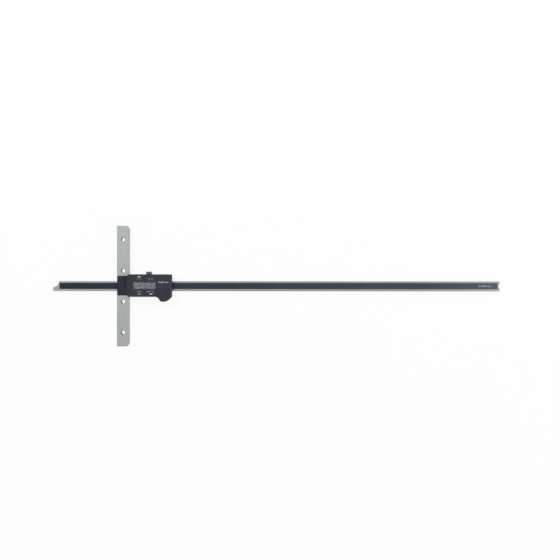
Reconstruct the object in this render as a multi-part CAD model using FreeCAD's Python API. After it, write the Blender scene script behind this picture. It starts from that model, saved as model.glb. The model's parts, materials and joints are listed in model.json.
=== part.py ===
import FreeCAD, Part
import math
import os
from FreeCAD import Vector

# Digital depth gauge, 600 mm range, lying on its back with the display facing up.
# X runs along the beam, away from the surface being measured. Y runs along the base, towards the
# clamp screw. Z points out of the display. The origin lies on the reference face of the base, on the
# beam's centre line, at the level of the base's back. All sizes are in millimetres.

# Beam: a flat bar that slides through the base and carries the scale in a groove on its front.
measuring_range = 600.0
rest_reading = 103.6
beam_width = 16.0
beam_thickness = 4.0
beam_edge_break = 0.3
tip_cut_radius = 9.5
end_notch_radius = 4.4
end_notch_depth = 1.6
running_gap = 0.05
back_gap = 0.1

# Scale strip set into the beam.
strip_width = 10.0
strip_offset = 0.3
strip_from_tip = 10.1
strip_from_end = 3.1
scale_board_thickness = 0.55
scale_film_thickness = 0.13
strip_sink = 0.02
strip_side_gap = 0.05

# Stop pins pressed into the beam's back, side by side. They meet the rear plate just past the full range.
stop_over_travel = 0.3
stop_pin_inset = 33.3
stop_pin_spacing = 8.0
stop_pin_radius = 1.0
stop_pin_rise = 0.9
stop_pin_depth = 2.6

# Base: the long bar whose -X face is the reference face.
base_length = 195.0
base_width = 20.0
base_thickness = 10.0
base_corner_radius = 8.0
base_corner_trim = 0.8
base_edge_break = 0.5
hole_pitch = 50.0
hole_radius = 3.3
hole_chamfer = 0.4

# Slider frame: a nose let into the base, and a channel that wraps the beam behind the display.
nose_width = 31.0
nose_offset = 0.8
nose_setback = 0.4
nose_side_gap = 0.05
frame_end_x = 88.6
lower_rail_edge = 16.4
upper_rail_edge = 17.6
rear_plate_thickness = 1.2
rear_plate_inset = 0.4
rear_plate_corner_radius = 1.5

# Gib: the strip that takes up the play at the beam's upper edge, and what presses on it.
gib_thickness = 1.25
gib_inset = 3.0
gib_back_gap = 0.1
gib_screw_radius = 1.25
gib_screw_sink = 1.0
gib_screw_inset = 16.0
screw_hole_gap = 0.05
driver_slot_width = 0.5
driver_slot_depth = 0.7

# Clamp screw and the brass shoe under it.
clamp_x = 51.35
clamp_pitch = 0.6
clamp_shank_radius = 1.5
clamp_hole_gap = 0.05
clamp_shoe_gap = 0.4
clamp_shoe_thickness = 1.2
clamp_head_radius = 4.95
clamp_head_height = 4.4
clamp_head_gap = 1.6
clamp_collar_radius = 3.0
clamp_head_chamfer = 0.3
knurl_count = 20
knurl_depth = 0.4

# Screws that hold the nose in the base, and long ones that hold rear plate, frame and case together.
nose_screw_radius = 1.25
nose_screw_head_radius = 2.2
nose_screw_head_height = 1.5
nose_screw_grip = 4.0
case_screw_radius = 1.0
case_screw_head_radius = 1.9
case_screw_head_height = 1.2
case_screw_grip = 3.4
case_screw_inset = 3.4
case_screw_edge = 2.7
boss_wall = 1.0
boss_roof = 1.0
boss_rib_width = 1.2

# Front cover over the nose, a little wider than it.
front_cover_lap = 0.35
front_cover_thickness = 0.9
front_cover_setback = 0.3
front_cover_gap = 0.1
front_cover_edge_break = 0.25

# Display case: a shell with a round lobe at its lower right.
case_start_x = 17.3
case_end_x = 89.6
case_lower_edge = 17.3
case_upper_edge = 19.1
case_height = 8.6
case_wall = 1.5
case_front_wall = 1.6
case_corner_radius = 2.8
inner_corner_radius = 0.4
lobe_radius = 14.0
lobe_reach = 25.2
lobe_hollow_radius = 8.7
lobe_hollow_start = 28.0
lobe_shoulder_radius = 3.2
lobe_flank_slope = 45.0
lobe_heel_radius = 2.0
case_edge_break = 0.7
end_bevel_length = 2.6
end_bevel_drop = 1.3

# Display window, lens and liquid-crystal panel.
window_x = 45.3
window_y = 0.9
window_length = 35.7
window_height = 10.4
lens_border = 1.4
lens_thickness = 0.7
lens_sink = 0.08
lens_gap = 0.05
lens_corner_radius = 1.0
panel_border = 1.0
panel_thickness = 1.6
panel_gap = 0.1

# Push buttons: centre of each on the front face, and their common section.
power_button_xy = (37.1, -12.6)
zero_button_xy = (55.9, -12.5)
unit_button_xy = (36.9, 15.1)
button_length = 5.6
button_width = 2.1
button_corner_radius = 0.9
button_rise = 0.6
button_travel = 0.4
button_gap = 0.1
button_flange = 0.5
button_flange_thickness = 0.9
stem_width = 1.6
switch_width = 3.6
switch_height = 1.5
switch_clearance = 0.05

# Circuit board and what stands on it.
board_level = 1.6
board_thickness = 0.8
board_edge_gap = 1.2
board_boss_gap = 0.3
holder_wall = 1.0
elastomer_width = 1.8
chip_length = 8.0
chip_width = 4.7
chip_height = 1.2
sensor_length = 28.0
sensor_width = 12.4
sensor_board_thickness = 0.8
sensor_air_gap = 0.35
sensor_window_gap = 0.2
board_screw_radius = 0.8
board_screw_head_radius = 1.4
board_screw_head_height = 0.8
board_screw_grip = 3.7
board_posts_xy = ((46.6, -12.0), (71.5, 10.0))

# Battery compartment under the sliding lid.
cell_radius = 5.8
cell_thickness = 5.4
cell_cap_height = 0.6
cell_seal_width = 1.2
holder_floor = 0.3
contact_thickness = 0.2
cell_side_gap = 0.4
holder_ring_wall = 0.9
holder_height = 2.7
holder_notch_width = 5.0
contact_width = 2.9
positive_contact_width = 6.2
compartment_floor = 1.0
lid_start_x = 66.5
lid_width = 14.2
lid_tongue = 0.7
lid_tongue_thickness = 0.85
lid_gap = 0.1
lid_slide_gap = 0.05
rail_wall = 1.2
grip_count = 4
grip_pitch = 1.6
grip_width = 0.6
grip_depth = 0.3
grip_length = 8.0
grip_from_end = 5.0

# Output port in the case's end wall.
port_y = 1.9
port_width = 8.0
port_above_board = 0.2
port_gap = 0.1
port_cover_depth = 2.6
connector_height = 3.6
port_pull_slot = 0.5
connector_depth = 5.0
connector_gap = 0.3

# Levels and edges that follow from the driving dimensions.
half_beam = beam_width / 2
nose_ys = (nose_offset - nose_width / 2, nose_offset + nose_width / 2)
beam_back_z = base_thickness / 2 - beam_thickness / 2
beam_front_z = beam_back_z + beam_thickness
tip_x = -rest_reading
stop_pin_x = (frame_end_x - rear_plate_inset + stop_pin_radius + measuring_range - rest_reading
              + stop_over_travel)
stop_pin_ys = (-stop_pin_spacing / 2, stop_pin_spacing / 2)
beam_end_x = stop_pin_x + stop_pin_inset
channel_half = half_beam + running_gap
web_back_z = beam_front_z + running_gap
web_front_z = base_thickness
beam_mid_z = beam_back_z + beam_thickness / 2
rail_back_z = beam_back_z - back_gap
plate_back_z = rail_back_z - rear_plate_thickness
gib_slot_y = channel_half + gib_thickness + running_gap
case_back_z = web_front_z
case_front_z = case_back_z + case_height
cavity_top_z = case_front_z - case_front_wall
case_screw_xs = (base_width + case_screw_inset, frame_end_x - case_screw_inset)
case_screw_ys = (case_screw_edge - lower_rail_edge, upper_rail_edge - case_screw_edge)
board_back_z = case_back_z + board_level
board_front_z = board_back_z + board_thickness
panel_front_z = cavity_top_z - panel_gap
panel_back_z = panel_front_z - panel_thickness
panel_length = window_length + 2 * panel_border
panel_height = window_height + 2 * panel_border
button_flange_z = cavity_top_z - button_gap
switch_top_z = board_front_z + switch_height
button_stem_z = switch_top_z + button_travel + switch_clearance
cell_x = case_end_x - lobe_radius
cell_y = lobe_radius - lobe_reach
lid_y = cell_y
lid_back_z = cavity_top_z - lid_tongue_thickness - lid_slide_gap
compartment_top_y = lid_y + lid_width / 2 + lid_gap
compartment_bottom_y = lid_y - lid_width / 2 - lid_gap
beyond = 5.0
window_overcut = 0.5


def block(x0, x1, y0, y1, z0, z1):
    """Box between two opposite corners."""
    return Part.makeBox(x1 - x0, y1 - y0, z1 - z0, Vector(x0, y0, z0))


def post(x, y, z0, z1, radius):
    """Cylinder standing along Z."""
    return Part.makeCylinder(radius, z1 - z0, Vector(x, y, z0), Vector(0, 0, 1))


def pin_along_y(x, z, y0, y1, radius):
    """Cylinder lying along Y."""
    return Part.makeCylinder(radius, y1 - y0, Vector(x, y0, z), Vector(0, 1, 0))


def cone(x, y, z0, z1, radius0, radius1):
    """Cone frustum standing along Z."""
    return Part.makeCone(radius0, radius1, z1 - z0, Vector(x, y, z0), Vector(0, 0, 1))


def rounded_block(x, y, length, width, radius, z0, z1):
    """Plate with rounded corners, centred on x, y."""
    plate = block(x - length / 2, x + length / 2, y - width / 2, y + width / 2, z0, z1)
    return plate.makeFillet(radius, edges_where(plate, is_upright))


def extrude_along_x(points_yz, x0, x1):
    """Closed polygon in the YZ plane, extruded from x0 to x1."""
    corners = [Vector(x0, y, z) for y, z in points_yz]
    face = Part.Face(Part.makePolygon(corners + corners[:1]))
    return face.extrude(Vector(x1 - x0, 0, 0))


def extrude_along_y(points_xz, y0, y1):
    """Closed polygon in the XZ plane, extruded from y0 to y1."""
    corners = [Vector(x, y0, z) for x, z in points_xz]
    face = Part.Face(Part.makePolygon(corners + corners[:1]))
    return face.extrude(Vector(0, y1 - y0, 0))


def edges_where(shape, test):
    """Edges of a shape that pass a test."""
    return [edge for edge in shape.Edges if test(edge)]


def edge_direction(edge):
    """Unit vector from an edge's first end to its last."""
    ends = edge.Vertexes
    return (ends[-1].Point - ends[0].Point).normalize() if len(ends) == 2 else Vector()


def is_upright(edge):
    """True for a straight edge along Z."""
    return abs(edge_direction(edge).z) > 0.999


def in_plane_z(edge, z):
    """True for an edge that lies at height z."""
    return abs(edge.BoundBox.ZMin - z) < 1e-6 and abs(edge.BoundBox.ZMax - z) < 1e-6


def join(shapes):
    """One solid from shapes that meet or overlap."""
    whole = shapes[0].fuse(list(shapes[1:]))
    return whole.removeSplitter()


def headed_screw(x, y, seat_z, way, radius, head_radius, head_height, length):
    """Screw driven along Z. Its head stands on the plane seat_z, and way is +1 or -1 towards its tip."""
    axis = Vector(0, 0, way)
    head = Part.makeCylinder(head_radius, head_height, Vector(x, y, seat_z), -axis)
    shank = Part.makeCylinder(radius, length, Vector(x, y, seat_z), axis)
    return join([head, shank])


def make_beam():
    """Ground bar with a hollowed corner at the tip, a groove for the scale and a notch at the far end."""
    notch_half = math.sqrt(end_notch_radius ** 2 - (end_notch_radius - end_notch_depth) ** 2)
    tip_face_y = half_beam - tip_cut_radius
    diagonal = tip_cut_radius * math.sqrt(0.5)
    outline = Part.Wire([
        Part.makeLine(Vector(tip_x, -half_beam, 0), Vector(beam_end_x, -half_beam, 0)),
        Part.makeLine(Vector(beam_end_x, -half_beam, 0), Vector(beam_end_x, -notch_half, 0)),
        Part.Arc(Vector(beam_end_x, -notch_half, 0), Vector(beam_end_x - end_notch_depth, 0, 0),
                 Vector(beam_end_x, notch_half, 0)).toShape(),
        Part.makeLine(Vector(beam_end_x, notch_half, 0), Vector(beam_end_x, half_beam, 0)),
        Part.makeLine(Vector(beam_end_x, half_beam, 0), Vector(tip_x + tip_cut_radius, half_beam, 0)),
        Part.Arc(Vector(tip_x + tip_cut_radius, half_beam, 0),
                 Vector(tip_x + diagonal, half_beam - diagonal, 0),
                 Vector(tip_x, tip_face_y, 0)).toShape(),
        Part.makeLine(Vector(tip_x, tip_face_y, 0), Vector(tip_x, -half_beam, 0)),
    ])
    bar = Part.Face(outline).extrude(Vector(0, 0, beam_thickness))
    bar.translate(Vector(0, 0, beam_back_z))
    long_edges = edges_where(bar, lambda e: e.Length > (beam_end_x - tip_x) / 2)
    bar = bar.makeChamfer(beam_edge_break, long_edges)
    bar = bar.cut(scale_layer(0.0, beam_front_z - groove_depth(), beam_front_z + beyond))
    for y in stop_pin_ys:
        bar = bar.cut(post(stop_pin_x, y, beam_back_z - beyond, beam_back_z + stop_pin_depth,
                           stop_pin_radius))
    return bar


def groove_depth():
    """Depth of the groove that takes the scale board and its film."""
    return scale_board_thickness + scale_film_thickness + strip_sink


def scale_layer(side_gap, z0, z1):
    """One layer of the scale strip, or the groove that holds it."""
    half = strip_width / 2 - side_gap
    return block(tip_x + strip_from_tip + side_gap, beam_end_x - strip_from_end - side_gap,
                 strip_offset - half, strip_offset + half, z0, z1)


def make_scale_board():
    """Electrode board of the capacitive scale."""
    floor = beam_front_z - groove_depth()
    return scale_layer(strip_side_gap, floor, floor + scale_board_thickness)


def make_scale_film():
    """Dark film over the scale board, just below the beam's front face."""
    bottom = beam_front_z - groove_depth() + scale_board_thickness
    return scale_layer(strip_side_gap, bottom, bottom + scale_film_thickness)


def make_stop_pins():
    """Two pins on the beam's back that keep the slider on the beam."""
    return Part.makeCompound([post(stop_pin_x, y, beam_back_z - stop_pin_rise, beam_back_z + stop_pin_depth,
                                   stop_pin_radius) for y in stop_pin_ys])


def hole_ys():
    """Places of the four fixing holes along the base."""
    return [hole_pitch * k for k in (-1.5, -0.5, 0.5, 1.5)]


def nose_screw_places():
    """Centres of the nose's two screws, midway between the beam and the nose's edges."""
    x = base_width / 2
    return [(x, (nose_ys[0] - channel_half) / 2), (x, (nose_ys[1] + channel_half) / 2)]


def nose_seat_z():
    """Level on which the nose screws' heads stand, in their counterbores."""
    return web_front_z - nose_screw_head_height


def make_base():
    """Long bar with a channel for the beam, a seat for the slider's nose and four chamfered holes."""
    half = base_length / 2
    blank_half = half + base_corner_trim
    bar = block(0, base_width, -blank_half, blank_half, 0, base_thickness)
    back_corners = edges_where(bar, lambda e: is_upright(e) and e.BoundBox.XMin > base_width / 2)
    bar = bar.makeFillet(base_corner_radius, back_corners)
    # The ends are ground back a little, so each round corner meets its end face at a slight angle.
    bar = bar.common(block(0, base_width, -half, half, 0, base_thickness))
    rims = edges_where(bar, lambda e: (in_plane_z(e, 0) or in_plane_z(e, base_thickness))
                       and e.BoundBox.XMax > base_width / 4)
    bar = bar.makeChamfer(base_edge_break, rims)
    bar = bar.cut(block(-beyond, base_width + beyond, -channel_half, channel_half,
                        beam_back_z - running_gap, base_thickness + beyond))
    seat_ys = (nose_ys[0] - nose_side_gap, nose_ys[1] + nose_side_gap)
    bar = bar.cut(block(-beyond, base_width + beyond, seat_ys[0], seat_ys[1],
                        web_back_z, base_thickness + beyond))
    for y in hole_ys():
        x = base_width / 2
        wide = hole_radius + hole_chamfer
        bar = bar.cut(post(x, y, -beyond, base_thickness + beyond, hole_radius))
        bar = bar.cut(cone(x, y, base_thickness - hole_chamfer, base_thickness, hole_radius, wide))
    for x, y in nose_screw_places():
        bar = bar.cut(post(x, y, web_back_z - nose_screw_grip - screw_hole_gap, base_thickness,
                           nose_screw_radius + screw_hole_gap))
    return bar


def make_nose_screws():
    """Two screws that pull the slider's nose into the base."""
    length = nose_seat_z() - web_back_z + nose_screw_grip
    return Part.makeCompound([
        headed_screw(x, y, nose_seat_z(), -1, nose_screw_radius, nose_screw_head_radius,
                     nose_screw_head_height - screw_hole_gap, length)
        for x, y in nose_screw_places()])


def gib_screw_xs():
    """Places of the gib's two set screws along the slider."""
    return (base_width + gib_screw_inset, frame_end_x - gib_screw_inset)


def sensor_half():
    """Half length and half width of the sensor's window in the slider's web."""
    return sensor_length / 2 + sensor_window_gap, sensor_width / 2 + sensor_window_gap


def make_slider_frame():
    """Steel frame: a flat nose that lies in the base, and a channel with two rails beside the beam."""
    section = [
        (-lower_rail_edge, rail_back_z), (-channel_half, rail_back_z), (-channel_half, web_back_z),
        (gib_slot_y, web_back_z), (gib_slot_y, rail_back_z), (upper_rail_edge, rail_back_z),
        (upper_rail_edge, web_front_z), (-lower_rail_edge, web_front_z),
    ]
    channel = extrude_along_x(section, base_width, frame_end_x)
    nose = block(nose_setback, base_width, nose_ys[0], nose_ys[1], web_back_z, web_front_z)
    frame = join([channel, nose])
    half_length, half_width = sensor_half()
    frame = frame.cut(block(window_x - half_length, window_x + half_length, -half_width, half_width,
                            web_back_z - beyond, web_front_z + beyond))
    for x, y in nose_screw_places():
        frame = frame.cut(post(x, y, web_back_z - beyond, web_front_z, nose_screw_radius + screw_hole_gap))
        frame = frame.cut(post(x, y, nose_seat_z(), web_front_z + beyond,
                               nose_screw_head_radius + screw_hole_gap))
    for x, y in case_screw_places():
        frame = frame.cut(post(x, y, rail_back_z - beyond, web_front_z + beyond,
                               case_screw_radius + screw_hole_gap))
    for x in gib_screw_xs():
        frame = frame.cut(pin_along_y(x, beam_mid_z, gib_slot_y - running_gap, upper_rail_edge + beyond,
                                      gib_screw_radius + screw_hole_gap))
    return frame.cut(pin_along_y(clamp_x, beam_mid_z, gib_slot_y - running_gap, upper_rail_edge + beyond,
                                 clamp_shank_radius + clamp_hole_gap))


def case_screw_places():
    """Centres of the four long screws through rear plate, frame and case."""
    return [(x, y) for x in case_screw_xs for y in case_screw_ys]


def make_rear_plate():
    """Plate that closes the slider's channel behind the beam and covers both rails."""
    plate = block(base_width + rear_plate_inset, frame_end_x - rear_plate_inset,
                  rear_plate_inset - lower_rail_edge, upper_rail_edge - rear_plate_inset,
                  plate_back_z, rail_back_z)
    plate = plate.makeFillet(rear_plate_corner_radius, edges_where(plate, is_upright))
    for x, y in case_screw_places():
        plate = plate.cut(post(x, y, plate_back_z - beyond, rail_back_z + beyond,
                               case_screw_radius + screw_hole_gap))
    return plate


def make_gib():
    """Bronze strip along the beam's upper edge."""
    return block(base_width + gib_inset, frame_end_x - gib_inset, channel_half, channel_half + gib_thickness,
                 beam_back_z, beam_front_z - gib_back_gap)


def make_gib_screws():
    """Two slotted set screws that press on the gib."""
    outer_y = upper_rail_edge - gib_screw_sink
    screws = []
    for x in gib_screw_xs():
        screw = pin_along_y(x, beam_mid_z, channel_half + gib_thickness, outer_y, gib_screw_radius)
        half_slot = driver_slot_width / 2
        slot = block(x - gib_screw_radius, x + gib_screw_radius, outer_y - driver_slot_depth, outer_y,
                     beam_mid_z - half_slot, beam_mid_z + half_slot)
        screws.append(screw.cut(slot))
    return Part.makeCompound(screws)


def shoe_inner_y():
    """Level of the clamp shoe's working face when the screw is loose."""
    return channel_half + gib_thickness + clamp_shoe_gap


def make_clamp_shoe():
    """Brass pad between the clamp screw and the gib."""
    return pin_along_y(clamp_x, beam_mid_z, shoe_inner_y(), shoe_inner_y() + clamp_shoe_thickness,
                       clamp_shank_radius)


def make_clamp_screw():
    """Knurled thumb screw, turned from one piece, with its tip on the clamp shoe."""
    tip_y = shoe_inner_y() + clamp_shoe_thickness
    collar_y = upper_rail_edge + clamp_head_gap / 2
    head_y = upper_rail_edge + clamp_head_gap
    top_y = head_y + clamp_head_height
    c = clamp_head_chamfer
    profile = [
        (0, tip_y), (clamp_shank_radius, tip_y), (clamp_shank_radius, collar_y),
        (clamp_collar_radius, collar_y), (clamp_collar_radius, head_y), (clamp_head_radius - c, head_y),
        (clamp_head_radius, head_y + c), (clamp_head_radius, top_y - c), (clamp_head_radius - c, top_y),
        (0, top_y),
    ]
    corners = [Vector(clamp_x + r, y, beam_mid_z) for r, y in profile]
    face = Part.Face(Part.makePolygon(corners + corners[:1]))
    screw = face.revolve(Vector(clamp_x, 0, beam_mid_z), Vector(0, 1, 0), 360)
    return screw.cut(Part.makeCompound([knurl_groove(k, head_y, top_y) for k in range(knurl_count)]))


def knurl_groove(k, head_y, top_y):
    """V-shaped groove number k along the thumb screw's head."""
    turn = 2 * math.pi * k / knurl_count
    half_pitch = math.pi / knurl_count
    rim = clamp_head_radius + knurl_depth
    root = clamp_head_radius - knurl_depth
    corners = [
        Vector(clamp_x + r * math.cos(turn + a), head_y - knurl_depth, beam_mid_z + r * math.sin(turn + a))
        for r, a in ((root, 0), (rim, -half_pitch), (rim, half_pitch))]
    groove = Part.Face(Part.makePolygon(corners + corners[:1]))
    return groove.extrude(Vector(0, top_y - head_y + 2 * knurl_depth, 0))


def make_front_cover():
    """Thin black plate over the nose, level with the base's front."""
    plate = block(front_cover_setback, case_start_x - front_cover_gap,
                  nose_ys[0] - front_cover_lap, nose_ys[1] + front_cover_lap,
                  web_front_z, web_front_z + front_cover_thickness)
    rim = edges_where(plate, lambda e: in_plane_z(e, web_front_z + front_cover_thickness))
    return plate.makeChamfer(front_cover_edge_break, rim)


def arc_between(centre, radius, start_angle, end_angle):
    """Arc in the XY plane from one angle to another, in radians."""
    def at(angle):
        return Vector(centre.x + radius * math.cos(angle), centre.y + radius * math.sin(angle), 0)
    return Part.Arc(at(start_angle), at((start_angle + end_angle) / 2), at(end_angle)).toShape()


def direction_angle(centre, point):
    """Angle of a point seen from a centre, in radians."""
    return math.atan2(point.y - centre.y, point.x - centre.x)


def case_outline(inset):
    """Outline of the display case, drawn smaller by inset.

    A rounded rectangle whose lower right corner swells into a round lobe. From the left, a hollow arc
    leads out of the lower edge, a small shoulder turns into the lobe, and a straight flank and a
    rounded heel lead from the lobe up to the right edge.
    """
    x0, x1 = case_start_x + inset, case_end_x - inset
    y0, y1 = inset - case_lower_edge, case_upper_edge - inset
    corner = max(case_corner_radius - inset, inner_corner_radius)
    hollow = lobe_hollow_radius + inset
    shoulder = lobe_shoulder_radius - inset
    lobe = lobe_radius - inset
    heel = max(lobe_heel_radius - inset, inner_corner_radius)
    lobe_centre = Vector(cell_x, cell_y, 0)
    hollow_centre = Vector(case_end_x - lobe_hollow_start, y0 - hollow, 0)
    # The shoulder touches the hollow from outside and the lobe from inside.
    apart = lobe_centre - hollow_centre
    to_hollow, to_lobe = hollow + shoulder, lobe - shoulder
    along = (apart.Length ** 2 + to_hollow ** 2 - to_lobe ** 2) / (2 * apart.Length)
    aside = math.sqrt(to_hollow ** 2 - along ** 2)
    unit = Vector(apart).normalize()
    shoulder_centre = hollow_centre + unit * along + Vector(unit.y, -unit.x, 0) * aside
    hollow_end = direction_angle(hollow_centre, shoulder_centre)
    shoulder_end = direction_angle(lobe_centre, shoulder_centre)
    flank_angle = -math.radians(lobe_flank_slope)
    normal = Vector(math.cos(flank_angle), math.sin(flank_angle), 0)
    flank_start = lobe_centre + normal * lobe
    reach = normal.dot(flank_start)
    heel_centre = Vector(x1 - heel, (reach - heel - normal.x * (x1 - heel)) / normal.y, 0)
    flank_end = heel_centre + normal * heel
    left, right = Vector(x0 + corner, 0, 0), Vector(x1 - corner, 0, 0)
    low, high = Vector(0, y0 + corner, 0), Vector(0, y1 - corner, 0)
    return Part.Wire([
        arc_between(left + low, corner, math.pi, 1.5 * math.pi),
        Part.makeLine(Vector(left.x, y0, 0), Vector(hollow_centre.x, y0, 0)),
        arc_between(hollow_centre, hollow, math.pi / 2, hollow_end),
        arc_between(shoulder_centre, shoulder, hollow_end + math.pi, shoulder_end + 2 * math.pi),
        arc_between(lobe_centre, lobe, shoulder_end + 2 * math.pi, flank_angle + 2 * math.pi),
        Part.makeLine(flank_start, flank_end),
        arc_between(heel_centre, heel, flank_angle, 0),
        Part.makeLine(Vector(x1, heel_centre.y, 0), Vector(x1, high.y, 0)),
        arc_between(right + high, corner, 0, math.pi / 2),
        Part.makeLine(Vector(right.x, y1, 0), Vector(left.x, y1, 0)),
        arc_between(left + high, corner, math.pi / 2, math.pi),
        Part.makeLine(Vector(x0, high.y, 0), Vector(x0, low.y, 0)),
    ])


def case_blank():
    """Outer form of the case with its lid in place: softened front edges and a bevel at the far end."""
    blank = Part.Face(case_outline(0.0)).extrude(Vector(0, 0, case_height))
    blank.translate(Vector(0, 0, case_back_z))
    rim = edges_where(blank, lambda e: in_plane_z(e, case_front_z))
    blank = blank.makeChamfer(case_edge_break, rim)
    bevel = extrude_along_y([
        (case_end_x - end_bevel_length, case_front_z), (case_end_x + beyond, case_front_z),
        (case_end_x + beyond, case_front_z - end_bevel_drop * (1 + beyond / end_bevel_length)),
    ], -lobe_reach - beyond, case_upper_edge + beyond)
    return blank.cut(bevel)


def lid_section(gap):
    """The sliding lid's T-shaped section along its whole run, grown by gap.

    It is trimmed by the case's outer form.
    """
    half = lid_width / 2 + gap
    wide = half + lid_tongue
    lift = min(gap, lid_slide_gap)
    bottom_z, tongue_top_z = lid_back_z - lift, lid_back_z + lid_tongue_thickness + lift
    plate = block(lid_start_x - gap, case_end_x + beyond, lid_y - half, lid_y + half,
                  bottom_z, case_front_z + beyond)
    tongue = block(lid_start_x - gap, case_end_x + beyond, lid_y - wide, lid_y + wide, bottom_z, tongue_top_z)
    return join([plate, tongue])


def make_battery_lid():
    """Lid that slides out of the case's end on two side tongues, with a few grip grooves."""
    lid = case_blank().common(lid_section(0.0))
    for k in range(grip_count):
        x = case_end_x - grip_from_end - k * grip_pitch
        lid = lid.cut(block(x - grip_width, x, lid_y - grip_length / 2, lid_y + grip_length / 2,
                            case_front_z - grip_depth, case_front_z + beyond))
    return lid


def button_places():
    """Name and centre of each push button."""
    return (("power_button", power_button_xy), ("zero_button", zero_button_xy),
            ("unit_button", unit_button_xy))


def boss(x, y, z0, z1, screw_radius):
    """Square boss for a screw, before its hole."""
    half = screw_radius + boss_wall
    return block(x - half, x + half, y - half, y + half, z0, z1)


def make_display_case():
    """Moulded shell: window, button holes, lid channel, port, screw bosses and board posts."""
    cavity = Part.Face(case_outline(case_wall)).extrude(Vector(0, 0, cavity_top_z))
    case = case_blank().cut(cavity)
    inside = [compartment_walls()]
    boss_top_z = case_back_z + case_screw_grip + boss_roof
    half_rib = boss_rib_width / 2
    for x, y in case_screw_places():
        inside.append(boss(x, y, case_back_z, boss_top_z, case_screw_radius))
        if x > cell_x and y < 0:
            rib = block(x, case_end_x - case_wall / 2, y - half_rib, y + half_rib, case_back_z, boss_top_z)
        else:
            wall_y = case_wall / 2 - case_lower_edge if y < 0 else case_upper_edge - case_wall / 2
            rib = block(x - half_rib, x + half_rib, min(y, wall_y), max(y, wall_y), case_back_z, boss_top_z)
        inside.append(rib)
    for x, y in board_posts_xy:
        inside.append(boss(x, y, board_front_z, cavity_top_z, board_screw_radius))
    case = join([case] + inside)
    for x, y in case_screw_places():
        case = case.cut(post(x, y, case_back_z - beyond, case_back_z + case_screw_grip + screw_hole_gap,
                             case_screw_radius + screw_hole_gap))
    for x, y in board_posts_xy:
        case = case.cut(post(x, y, board_front_z - beyond, board_front_z + board_screw_grip + screw_hole_gap,
                             board_screw_radius + screw_hole_gap))
    lens_length = window_length + 2 * lens_border
    lens_height = window_height + 2 * lens_border
    case = case.cut(rounded_block(window_x, window_y, lens_length, lens_height, lens_corner_radius,
                                  case_front_z - lens_thickness - lens_sink, case_front_z + beyond))
    half_length, half_height = window_length / 2, window_height / 2
    case = case.cut(block(window_x - half_length, window_x + half_length, window_y - half_height,
                          window_y + half_height, cavity_top_z - window_overcut, case_front_z + beyond))
    for _, (x, y) in button_places():
        case = case.cut(rounded_block(x, y, button_length + 2 * button_gap, button_width + 2 * button_gap,
                                      button_corner_radius + button_gap,
                                      cavity_top_z - window_overcut, case_front_z + beyond))
    return case.cut(lid_section(lid_gap)).cut(port_space(port_gap))


def compartment_walls():
    """Walls of the battery compartment, also the lid's rails.

    It has a floor only where the lobe overhangs the frame.
    """
    x0, x1 = lid_start_x - lid_gap, case_end_x - case_wall
    walls = block(x0 - rail_wall, x1 + case_wall / 2, compartment_bottom_y - rail_wall,
                  compartment_top_y + rail_wall, case_back_z, cavity_top_z)
    walls = walls.common(Part.Face(case_outline(case_wall / 2)).extrude(Vector(0, 0, cavity_top_z)))
    walls = walls.cut(block(x0, x1, compartment_bottom_y, compartment_top_y,
                            case_back_z + compartment_floor, cavity_top_z + beyond))
    walls = walls.cut(block(x0, x1, -lower_rail_edge, compartment_top_y, case_back_z - beyond, cavity_top_z))
    half = holder_half() + lid_gap
    return walls.cut(block(cell_x - half, cell_x + half, cell_y - half, cell_y + half,
                           case_back_z - beyond, cavity_top_z))


def port_space(gap):
    """Space of the output port's cover, grown by gap. It is trimmed by the case's outer form."""
    half = port_width / 2 - port_gap + gap
    return block(case_end_x - port_cover_depth - gap, case_end_x + beyond, port_y - half, port_y + half,
                 board_front_z + port_above_board + port_gap - gap, case_front_z + beyond)


def make_port_cover():
    """Plug that closes the output port, flush with the case's end and bevel, with a pull slot."""
    plug = case_blank().common(port_space(0.0))
    half = port_width / 2 - port_gap
    z0 = board_front_z + port_above_board + port_gap
    z1 = case_front_z - end_bevel_drop
    mid_z = (z0 + z1) / 2
    slot = block(case_end_x - port_pull_slot, case_end_x, port_y - half / 2, port_y + half / 2,
                 mid_z - port_pull_slot / 2, mid_z + port_pull_slot / 2)
    return plug.cut(slot)


def make_button(x, y):
    """Push button: a cap through the case's front, a flange that keeps it in, and a stem over its switch."""
    cap = rounded_block(x, y, button_length, button_width, button_corner_radius,
                        button_flange_z, case_front_z + button_rise)
    half_length, half_width = button_length / 2 + button_flange, button_width / 2 + button_flange
    flange = block(x - half_length, x + half_length, y - half_width, y + half_width,
                   button_flange_z - button_flange_thickness, button_flange_z)
    half = stem_width / 2
    stem = block(x - half, x + half, y - half, y + half, button_stem_z, button_flange_z)
    return join([cap, flange, stem])


def make_key_switches():
    """Three dome switches on the circuit board, one under each button."""
    half = switch_width / 2
    return Part.makeCompound([block(x - half, x + half, y - half, y + half, board_front_z, switch_top_z)
                              for _, (x, y) in button_places()])


def make_case_screws():
    """Four long screws that hold rear plate, frame and case together from behind."""
    length = case_back_z + case_screw_grip - plate_back_z
    return Part.makeCompound([
        headed_screw(x, y, plate_back_z, 1, case_screw_radius, case_screw_head_radius,
                     case_screw_head_height, length)
        for x, y in case_screw_places()])


def make_display_lens():
    """Clear window let into the case's front."""
    return rounded_block(window_x, window_y, window_length + 2 * (lens_border - lens_gap),
                         window_height + 2 * (lens_border - lens_gap), lens_corner_radius,
                         case_front_z - lens_sink - lens_thickness, case_front_z - lens_sink)


def make_display_panel():
    """Liquid-crystal panel behind the window."""
    return block(window_x - panel_length / 2, window_x + panel_length / 2,
                 window_y - panel_height / 2, window_y + panel_height / 2, panel_back_z, panel_front_z)


def elastomer_ys():
    """Lower edge of each contact strip under the panel."""
    return (window_y - panel_height / 2, window_y + panel_height / 2 - elastomer_width)


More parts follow.
